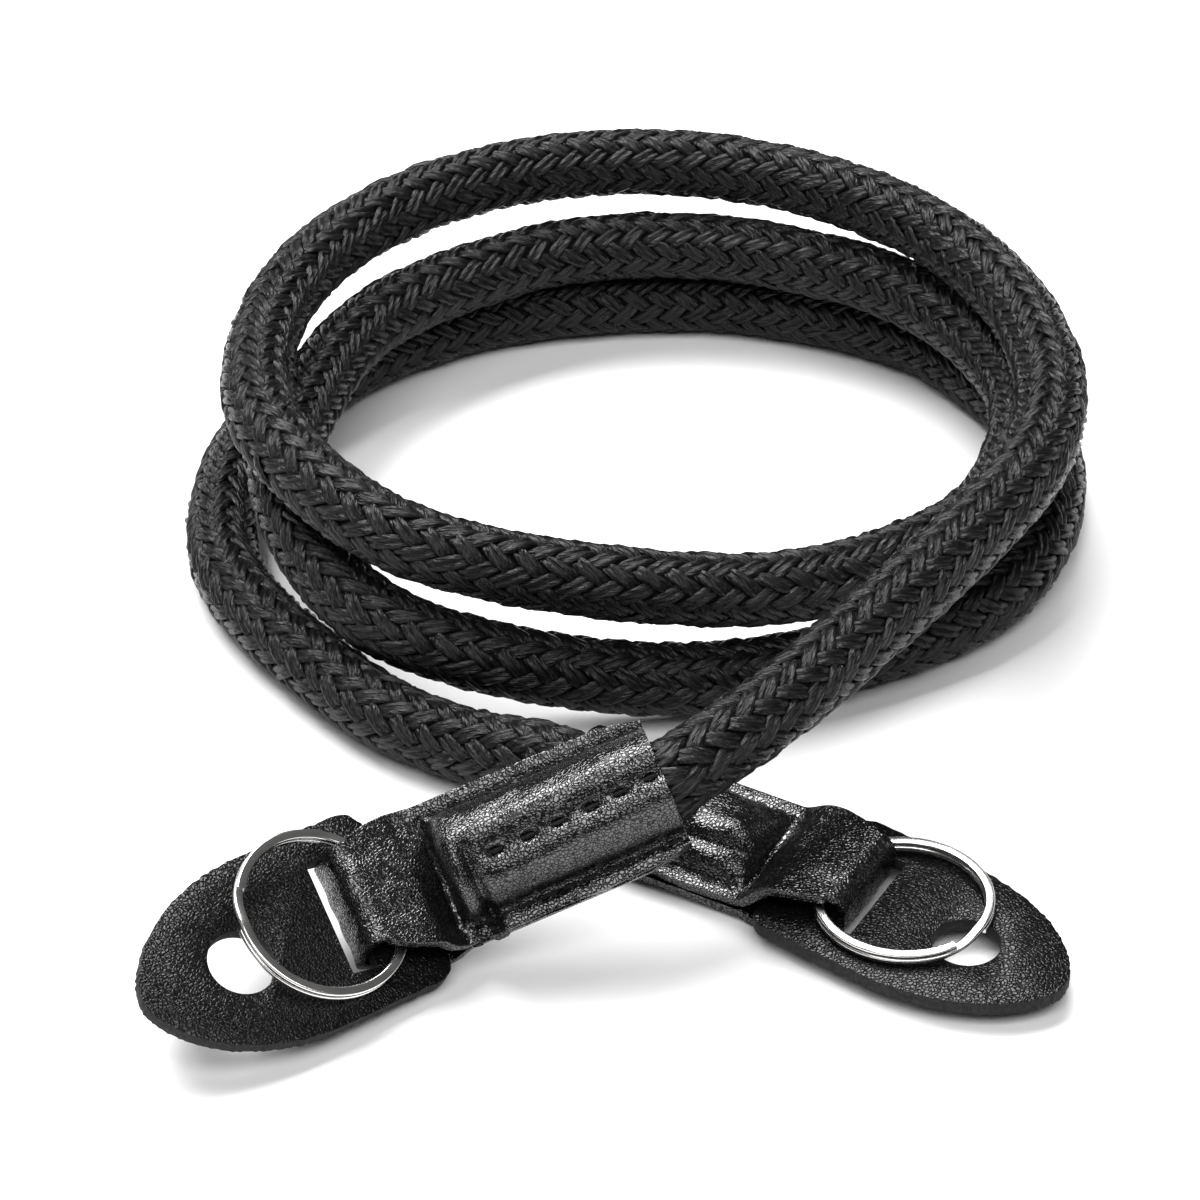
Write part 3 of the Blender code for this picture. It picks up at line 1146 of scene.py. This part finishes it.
    def frame_at(self, place: float) -> Matrix:
        """The strip's frame: X towards the nose, Y to a side, Z to the dome's side.

        Args:
            place: distance from the mouth.

        Returns:
            The frame.
        """
        pose = self.pose
        turn = turn_of(pose.roll, pose.dip, pose.heading)
        on_sleeve = Matrix.Translation((min(place, self.sleeve_length), 0, 0))
        here = Matrix.Translation(pose.mouth) @ turn @ on_sleeve
        steps, curved = self.bend_steps, self.tab_length * self.tab_curved
        step = min(max(place - self.sleeve_length, 0), curved) / steps
        share = step / curved
        bend = Matrix.Rotation(-radians(pose.bend) * share, 4, "Y")
        bend = bend @ Matrix.Rotation(radians(pose.twist) * share, 4, "X")
        for _ in range(steps):
            here = here @ Matrix.Translation((step, 0, 0)) @ bend
        return here @ Matrix.Translation((max(place - self.sleeve_length - curved, 0), 0, 0))

    def dome_half(self) -> Array:
        """Half of the dome's outer section, from its crest to the strip's edge.

        Returns:
            Side and rise above the flat layer, evenly spaced.
        """
        base, foot = self.dome_base, self.dome_half_width
        angles = np.linspace(0, pi / 2, self.arc_steps)
        arc = [(foot * sin(angle), base + self.dome_tall * cos(angle)) for angle in angles]
        arc += [(foot + past, base * share) for past, share in self.FOOT]
        arc += [(foot + 0.0009, 0.0), (foot + 0.0014, 0.00004), (self.sleeve_width / 2, 0.0)]
        return self.even(np.array(arc))

    def flat_half(self, width: float, bulge: float = 0.0) -> Array:
        """Half of a section that is flat, or bulges where the rope is.

        Args:
            width: the strip's width there.
            bulge: how far it bulges.

        Returns:
            Side and rise, evenly spaced.
        """
        side = np.linspace(0, width / 2, self.half_columns + 1)
        rise = bulge * np.cos(pi / 2 * np.minimum(side / self.dome_half_width, 1)) ** 2
        return np.stack([side, rise], axis=1)

    def even(self, line: Array) -> Array:
        """Space a line's points evenly.

        Args:
            line: its points.

        Returns:
            As many points as half a section has columns, and one more.
        """
        way_along = travelled(line)
        marks = np.linspace(0, way_along[-1], self.half_columns + 1)
        return read_rows(marks, way_along, line)

    def sleeve_rows(self, upper: bool) -> list[tuple[float, Array]]:
        """Outer sections along the sleeve.

        Args:
            upper: the layer over the rope, or else the one below it.

        Returns:
            Each section's place, and its points as side and height.
        """
        known, fullness, width = np.array(self.SLEEVES[self.side]).T
        start, stop = known[0] * self.sleeve_length, self.sleeve_length
        places = np.linspace(start, stop, round((stop - start) / self.station_spacing))
        shares = places / self.sleeve_length
        full = eased(shares, known, fullness, self.full_ease)
        full = np.clip(full, 0, 1) * np.clip((1 - shares) / self.end_ease, 0, 1)
        wide = eased(shares, known, width, self.width_ease)
        sign = 1 if upper else -1
        rows = []
        for place, fullness, width in zip(places, full, wide * self.sleeve_width):
            shaped = self.dome_half() if upper else self.flat_half(width, self.bulge)
            if upper:
                flange = (self.dome_half_width, self.sleeve_width / 2)
                shaped[:, 0] *= np.interp(shaped[:, 0], flange, (1.0, width / self.sleeve_width))
            half = self.flat_half(width) * (1 - fullness) + shaped * fullness
            height = sign * (self.half_gap + self.leather + half[:, 1])
            rows.append((place, np.stack([half[:, 0], height], axis=1)))
        return rows

    def fold_line(self) -> tuple[Array, Array]:
        """The strip's outer line round the loop, and its width along it.

        Returns:
            Place and height of each point, and the widths.
        """
        known, *columns = np.array(self.TAB).T
        radius = self.nose_radius
        corner = self.fold_place - radius
        places = np.arange(self.sleeve_length + self.station_spacing, corner, self.station_spacing)
        shares = (places - self.sleeve_length) / self.tab_length
        upper, lower, widths = (
            eased(shares, known, column, ease) for column, ease in zip(columns, self.TAB_EASE)
        )
        line = [
            (place, self.half_gap + (self.high - self.half_gap) * open_)
            for place, open_ in zip(places, upper)
        ]
        for middle, start in ((self.high - radius, pi / 2), (self.low + radius, 0.0)):
            for angle in np.linspace(start, start - pi / 2, self.nose_steps):
                line.append((corner + radius * cos(angle), middle + radius * sin(angle)))
        round_nose = len(line) - len(places)
        line += [
            (place, -self.half_gap + (self.low + self.half_gap) * open_)
            for place, open_ in zip(places[::-1], lower[::-1])
        ]
        inner = np.array(line)
        widths = np.concatenate([widths, np.full(round_nose, self.nose_width), widths[::-1]])
        return inner + self.leather * leftward(inner), widths * self.sleeve_width

    def sheet(self) -> tuple[Piece, Array, Array, Array]:
        """Lay the strip's outer face.

        Returns:
            The sheet, and for each vertex its place, its side and its layer, which is 1 for the
            upper one, 0 for the nose and -1 for the lower one.
        """
        rows = [(place, half, 1) for place, half in self.sleeve_rows(True)]
        outer, widths = self.fold_line()
        for (place, height), width in zip(outer, widths):
            half = self.flat_half(width)
            half[:, 1] = height
            layer = 0 if place > self.fold_place - self.nose_radius else (1 if height > 0 else -1)
            rows.append((place, half, layer))
        rows += [(place, half, -1) for place, half in reversed(self.sleeve_rows(False))]
        points, marks = [], []
        for place, half, layer in rows:
            section = np.concatenate([half[:0:-1] * (-1, 1), half])
            here = np.array(self.frame_at(place))
            local = np.stack([np.zeros(len(section)), section[:, 0], section[:, 1]], axis=1)
            points.append(local @ here[:3, :3].T + here[:3, 3])
            marks += [(place, side, layer) for side in section[:, 0]]
        return grid_of(f"{self.side.value}_leather", np.array(points)), *np.array(marks).T

    def shape(self, sheet: Piece, place: Array, side: Array, layer: Array) -> None:
        """Press the stitching's valleys, dents and grooves into the leather, and let it be uneven.

        Args:
            sheet: the strip's outer face.
            place: each vertex's place in metres.
            side: each vertex's side in metres.
            layer: each vertex's layer.
        """
        along, across = place * 1000, side * 1000
        upper = layer > 0
        on_sleeve = upper & (place < self.sleeve_length)
        push = np.zeros(len(place))
        if self.side is Side.LEFT:
            push += on_sleeve * self.full_sleeve_relief(along, across)
        else:
            push += on_sleeve * self.slack_sleeve_relief(along, across)
        groove = bell((np.abs(across) - self.groove_side * 1000, self.GROOVE_REACH))
        beat = 1 - self.GROOVE_BEAT * (1 - np.cos(tau * along / (self.stitch_pitch * 1000)))
        stitched = (place < self.sleeve_length + self.groove_past) * (layer != 0)
        push -= stitched * groove * beat * self.GROOVE_DEPTH
        seam, reach, depth, half = self.CROSS_SEAM
        push -= upper * bell((along - seam, reach)) * (np.abs(across) < half) * depth
        nodes = vectors(sheet.data.vertices)
        for wave, count, height, seeds in self.UNEVEN:
            push += height * wander(nodes / wave, count, seeds[self.side])
        fade = np.clip((self.sleeve_width / 2 - np.abs(side)) / self.EDGE_FADE, self.EDGE_SHARE, 1)
        normals = vectors(sheet.data.vertex_normals, "vector")
        set_coordinates(sheet, nodes + normals * (push * fade / 1000)[:, None])

    def full_sleeve_relief(self, along: Array, across: Array) -> Array:
        """The full dome's valley, its six stitch dents and its pleated end.

        Args:
            along: millimetres from the mouth.
            across: millimetres to the side.

        Returns:
            Millimetres outwards.
        """
        middle = 0.45 + 0.05 * along
        before_pleat = fall(along - 24.6, 0.6)
        relief = np.zeros(len(along))
        for side, reach, height, ends in self.RIDGES:
            relief += height * bell((across - middle - side, reach)) * (before_pleat if ends else 1)
        for dent_along, dent_across in self.DENTS:
            from_dent, beside = along - dent_along, across - dent_across
            for long, side, wide, height in self.DENT:
                relief += height * bell((from_dent, long), (beside - side, wide))
        low_side = fall(-(across + 0.6), 0.5)
        for pleat, reach, height in self.PLEATS:
            relief += height * bell((along - pleat, reach)) * low_side
        return relief

    def slack_sleeve_relief(self, along: Array, across: Array) -> Array:
        """The slack sleeve's two bumps, the stitched groove between them and its crumpled end.

        Args:
            along: millimetres from the mouth.
            across: millimetres to the side.

        Returns:
            Millimetres outwards.
        """
        relief = np.zeros(len(along))
        for at, to_side, long, wide, high in self.LUMPS:
            relief += high * bell((along - at, long), (across - to_side, wide))
        seam = -4.0 + 0.10 * (along - 25)
        relief -= 0.60 * bell((across - seam, 0.75)) * fall(along - 27.8, 0.6)
        return relief

    def build_leather(self) -> Piece:
        """Model the whole strip with its thickness and its raw edges.

        Returns:
            The strip.
        """
        sheet, place, side, layer = self.sheet()
        crest = self.frame_at(self.sleeve_length / 2).to_3x3() @ Vector((0, 0, 1))
        middle = int(np.argmin(np.abs(place - self.sleeve_length / 2) + np.abs(side) + (layer < 1)))
        if sheet.data.vertices[middle].normal.dot(crest) < 0:
            with editing(sheet):
                bpy.ops.mesh.flip_normals()
        self.shape(sheet, place, side, layer)
        finish_with(
            sheet, "SOLIDIFY", thickness=self.leather, offset=-1.0, use_even_offset=False,
            use_rim=True, material_offset_rim=1,
        )
        finish_with(
            sheet, "BEVEL", width=self.bevel, segments=2, limit_method="ANGLE",
            angle_limit=radians(62), harden_normals=False,
        )
        smooth(sheet, 50)
        return sheet

    def surface_spot(self, place: float, side: float) -> tuple[Vector, Vector, Vector]:
        """A spot on the strip's upper face.

        Args:
            place: distance from the mouth.
            side: distance to the side.

        Returns:
            The spot, the strip's direction there and its outward direction.
        """
        here = self.frame_at(place)
        rise, slope = self.half_gap + self.leather, 0.0
        if abs(side) < self.dome_half_width and place < self.sleeve_length * self.domed_share:
            slope = np.arcsin(side / self.dome_half_width)
            rise += self.dome_base + self.dome_tall * cos(slope)
        outward = here.to_3x3() @ Vector((0, sin(slope), cos(slope)))
        return here @ Vector((0, side, rise)), here.to_3x3() @ Vector((1, 0, 0)), outward

    def build_stitches(self) -> Piece:
        """Model one stitch and copy it along every seam.

        Returns:
            The stitches as one mesh.
        """
        spots: list[tuple[Vector, Vector, Vector]] = []
        start, stop = self.SEAM_STARTS[self.side], self.sleeve_length - self.seam_margin
        for place in np.arange(start, stop, self.stitch_pitch):
            for side in (-self.groove_side, self.groove_side):
                spots.append(self.surface_spot(float(place), side))
        for side in np.arange(*self.CROSS_SEAM_SIDES, self.stitch_pitch):
            spot, along, outward = self.surface_spot(self.cross_seam_place, float(side))
            spots.append((spot, outward.cross(along), outward))
        if self.side is Side.LEFT:
            for along, across in self.DENTS:
                spot, way, outward = self.surface_spot(along / 1000, across / 1000)
                spots.append((spot - outward * self.dent_sink, way, outward))
        clear_selection()
        bpy.ops.mesh.primitive_uv_sphere_add(segments=8, ring_count=6, radius=self.thread / 2)
        stitch = bpy.context.object
        stretch = (self.stitch_length - self.thread) / 2
        shape = vectors(stitch.data.vertices)[:, [2, 0, 1]]
        shape[:, 0] += np.sign(np.round(shape[:, 0], 7)) * stretch
        reach = shape[:, 0] / self.stitch_length * 2
        shape[:, 2] -= self.stitch_sag * self.stitch_length * reach ** 2
        set_coordinates(stitch, shape)
        smooth(stitch, 80)
        copies = []
        for spot, way, outward in spots:
            side_way = outward.cross(way).normalized()
            turn = Matrix((way, side_way, outward)).transposed().to_4x4()
            copy = add_object("stitch", stitch.data.copy())
            place_in_mesh(copy, Matrix.Translation(spot - outward * self.stitch_sink) @ turn)
            copies.append(copy)
        bpy.data.objects.remove(stitch, do_unlink=True)
        clear_selection()
        for copy in copies:
            copy.select_set(True)
        bpy.context.view_layer.objects.active = copies[0]
        bpy.ops.object.join()
        seam = bpy.context.object
        seam.name = seam.data.name = f"{self.side.value}_stitches"
        return seam

    def build(self) -> None:
        """Build and dress the strip and its stitches."""
        node = f"{self.side.value}_leather_end"
        strip = self.build_leather()
        rims = [face.material_index for face in strip.data.polygons]
        dress(strip, [node], [self.finishes.leather, self.finishes.edge])
        strip.data.polygons.foreach_set("material_index", rims)
        dress(self.build_stitches(), [], [self.finishes.thread])


# --- pads and rings


@dataclass
class GuardPad:
    """A flat leather pad with a slit for the strap's tab and a hole for the camera's strap eyelet.

    Attributes:
        end: the leather end that holds it.
        finishes: the finishes.
    """

    end: LeatherEnd
    finishes: FinishSet
    length: float = 0.0384
    width: float = 0.0253
    thickness: float = 0.0018
    straight: float = 0.0171
    corner_radius: float = 0.0030
    bridge: float = 0.0078
    hole_diameter: float = 0.0085
    hole_place: float = 0.0245
    tip_power: float = 1.18
    slit_width: float = 0.0034
    slit_play: float = 0.0009
    corner_steps: int = 8
    tip_steps: int = 64
    nick: float = 0.00006
    hole_sides: int = 72
    straight_steps: int = 22
    bevel: float = 0.00014

    SEEDS = {Side.LEFT: 5, Side.RIGHT: 8}

    def place(self) -> Matrix:
        """The pad's frame: the middle of its straight end, on the face that guards the camera.

        Returns:
            The frame.
        """
        end = self.end
        at_slit = end.frame_at(end.fold_place - end.nose_radius / 2)
        at_slit = at_slit @ Matrix.Translation((0, 0, end.low + end.clearance))
        turned = at_slit @ Matrix.Rotation(radians(end.pose.pad_turn), 4, "Z")
        return turned @ Matrix.Translation((-self.bridge, end.pose.pad_slide, 0))

    def outline(self) -> Array:
        """The pad's cut edge, a little nicked.

        Returns:
            Points in order, along and across.
        """
        half, corner = self.width / 2, self.corner_radius
        side = []
        for angle in np.linspace(0, pi / 2, self.corner_steps + 1):
            side.append((corner - corner * cos(angle), half - corner + corner * sin(angle)))
        side += [(x, half) for x in np.linspace(corner, self.straight, self.straight_steps)[1:-1]]
        for angle in np.linspace(0, pi / 2, self.tip_steps + 1):
            reach = self.straight + (self.length - self.straight) * sin(angle)
            side.append((reach, half * max(cos(angle), 0) ** self.tip_power))
        whole = np.array(side + [(x, -y) for x, y in side[-2::-1]])
        dice = np.random.default_rng(self.SEEDS[self.end.side])
        return whole + leftward(whole) * dice.normal(0, self.nick, len(whole))[:, None]

    def cut(self, pad: Piece, tool: Piece) -> None:
        """Cut a tool's shape out of the pad, and use the tool up."""
        finish_with(pad, "BOOLEAN", operation="DIFFERENCE", solver="EXACT", object=tool)
        bpy.data.objects.remove(tool, do_unlink=True)

    def build(self) -> None:
        """Build and dress the pad."""
        outline = self.outline()
        clear_selection()
        bpy.ops.mesh.primitive_circle_add(vertices=len(outline), radius=1.0, fill_type="NGON")
        pad = bpy.context.object
        pad.name = pad.data.name = f"{self.end.side.value}_guard_pad"
        set_coordinates(pad, np.concatenate([outline, np.zeros((len(outline), 1))], axis=1))
        with editing(pad):
            bpy.ops.mesh.extrude_region_move(TRANSFORM_OT_translate={"value": (0, 0, self.thickness)})
            bpy.ops.mesh.select_all(action="SELECT")
            bpy.ops.mesh.normals_make_consistent(inside=False)
        clear_selection()
        bpy.ops.mesh.primitive_cylinder_add(
            vertices=self.hole_sides, radius=self.hole_diameter / 2, depth=4 * self.thickness,
            location=(self.hole_place, 0, self.thickness / 2),
        )
        self.cut(pad, bpy.context.object)
        clear_selection()
        bpy.ops.mesh.primitive_cube_add(size=1.0)
        slit = bpy.context.object
        slit_length = self.end.sleeve_width * self.end.nose_width + 2 * self.slit_play
        slit_size = (self.slit_width, slit_length, 4 * self.thickness)
        set_coordinates(slit, vectors(slit.data.vertices) * slit_size)
        square = Matrix.Rotation(-radians(self.end.pose.pad_turn), 4, "Z")
        square = square @ Matrix.Translation((self.slit_width / 2, 0, 0))
        place_in_mesh(slit, Matrix.Translation((self.bridge, 0, self.thickness / 2)) @ square)
        self.cut(pad, slit)
        finish_with(
            pad, "BEVEL", width=self.bevel, segments=2, limit_method="ANGLE", angle_limit=radians(60)
        )
        smooth(pad, 24)
        edges = [1 if abs(face.normal.z) < 0.8 else 0 for face in pad.data.polygons]
        place_in_mesh(pad, self.place())
        finishes = [self.finishes.pad_leather, self.finishes.edge]
        dress(pad, [f"{self.end.side.value}_pad"], finishes)
        pad.data.polygons.foreach_set("material_index", edges)


@dataclass
class SplitRing:
    """A ring of flat nickel wire in two layers.

    Attributes:
        end: the leather end that holds it.
        finishes: the finishes.
    """

    end: LeatherEnd
    finishes: FinishSet
    diameter: float = 0.0226
    wire_width: float = 0.00125
    wire_height: float = 0.00075
    layer_gap: float = 0.00005
    crossing: float = 28.0
    rounding: float = 0.00027
    segments: int = 300
    corner_steps: int = 6

    def place(self) -> Matrix:
        """The ring's frame: its middle, on its lower face.

        Returns:
            The frame.
        """
        end, pose = self.end, self.end.pose
        outer = self.diameter / 2
        half_nose = end.sleeve_width * end.nose_width / 2
        bore = outer - self.wire_width
        behind_fold = (bore * bore - half_nose * half_nose) ** 0.5
        back = outer - behind_fold + end.nose_radius / 2 + end.clearance + pose.ring_back
        tall = 2 * self.wire_height + self.layer_gap
        height = (end.low + end.pad_thickness + end.clearance + end.high - tall) / 2
        held = end.frame_at(end.fold_place) @ Matrix.Translation((-back, pose.ring_slide, height))
        return held @ turn_of(pose.ring_roll, pose.ring_dip) @ Matrix.Translation((outer, 0, 0))

    def section(self) -> Array:
        """The wire's rounded section.

        Returns:
            Points as out and up.
        """
        wide, tall = self.wire_width / 2 - self.rounding, self.wire_height / 2 - self.rounding
        points = []
        corners = ((wide, tall, 0), (-wide, tall, 90), (-wide, -tall, 180), (wide, -tall, 270))
        for x, y, start in corners:
            for angle in np.radians(np.linspace(start, start + 90, self.corner_steps)):
                points.append((x + self.rounding * cos(angle), y + self.rounding * sin(angle)))
        return np.array(points)

    def build(self) -> None:
        """Build and dress the ring."""
        section = self.section()
        climb = radians(self.crossing)
        angles = np.linspace(0, 2 * tau - climb, self.segments)
        share = np.clip((angles - (tau - climb)) / climb, 0, 1)
        layer = self.wire_height + self.layer_gap
        rise = layer * share * share * (3 - 2 * share) + self.wire_height / 2
        middle = self.diameter / 2 - self.wire_width / 2
        out = middle + section[None, :, 0]
        up = rise[:, None] + section[None, :, 1]
        rings = np.stack([out * np.cos(angles)[:, None], out * np.sin(angles)[:, None], up], axis=-1)
        ring = tube_of(f"{self.end.side.value}_split_ring", rings)
        smooth(ring, 40)
        place_in_mesh(ring, self.place())
        dress(ring, [f"{self.end.side.value}_ring"], [self.finishes.nickel])


# --- the studio


@dataclass
class Studio:
    """The pale table, the soft light and the camera."""

    camera_place: Triple = (-0.0054, -0.4584, 0.333)
    camera_tilt: float = 54.5
    lens: float = 124.5
    world: float = 0.10
    table_size: float = 6.0
    floor_tone: float = 0.90
    aim: Triple = (0.0, 0.01, 0.0)

    LIGHTS = (  # name, place, size and watts
        ("overhead box", (-0.26, 0.46, 0.97), (1.1, 0.66), 26.0),
        ("front box", (0.10, -0.62, 1.05), (1.4, 0.7), 12.0),
    )

    def build_camera(self) -> None:
        """Stand the camera where the photograph was taken from."""
        data = bpy.data.cameras.new("camera")
        data.lens = self.lens
        data.sensor_width = 36.0
        camera = add_object("camera", data)
        camera.location = self.camera_place
        camera.rotation_euler = (radians(self.camera_tilt), 0, 0)
        bpy.context.scene.camera = camera

    def build_floor(self) -> None:
        """Lay the plain pale table."""
        clear_selection()
        bpy.ops.mesh.primitive_plane_add(size=self.table_size, location=(0, 0, 0))
        floor = bpy.context.object
        floor.name = "table"
        bench = Bench("pale table")
        bench.set(Base_Color=grey(self.floor_tone), Roughness=0.9, Specular_IOR_Level=0.1)
        floor.data.materials.append(bench.material)

    def light(self, name: str, place: Triple, size: tuple[float, float], power: float) -> None:
        """Hang a soft box that faces the strap.

        Args:
            name: the light's name.
            place: where it hangs.
            size: its width and height.
            power: its watts.
        """
        data = bpy.data.lights.new(name, "AREA")
        data.shape = "RECTANGLE"
        data.size, data.size_y = size
        data.energy = power
        lamp = add_object(name, data)
        lamp.location = place
        lamp.rotation_euler = (Vector(self.aim) - Vector(place)).to_track_quat("-Z", "Y").to_euler()

    def build(self) -> None:
        """Set up the studio."""
        scene = bpy.context.scene
        scene.view_settings.view_transform = "Standard"
        world = bpy.data.worlds.new("studio")
        world.use_nodes = True
        sky = world.node_tree.nodes["Background"].inputs
        sky["Color"].default_value = grey(1.0)
        sky["Strength"].default_value = self.world
        scene.world = world
        self.build_camera()
        self.build_floor()
        for name, place, size, power in self.LIGHTS:
            self.light(name, place, size, power)


def main() -> None:
    """Build the studio and the strap."""
    logging.basicConfig(level=logging.INFO, format="%(name)s %(message)s")
    Studio().build()
    finishes = FinishSet()
    BraidedRope(finishes).build()
    for side in Side:
        end = LeatherEnd(side, finishes)
        end.build()
        GuardPad(end, finishes).build()
        SplitRing(end, finishes).build()


if __name__ == "__main__":
    main()
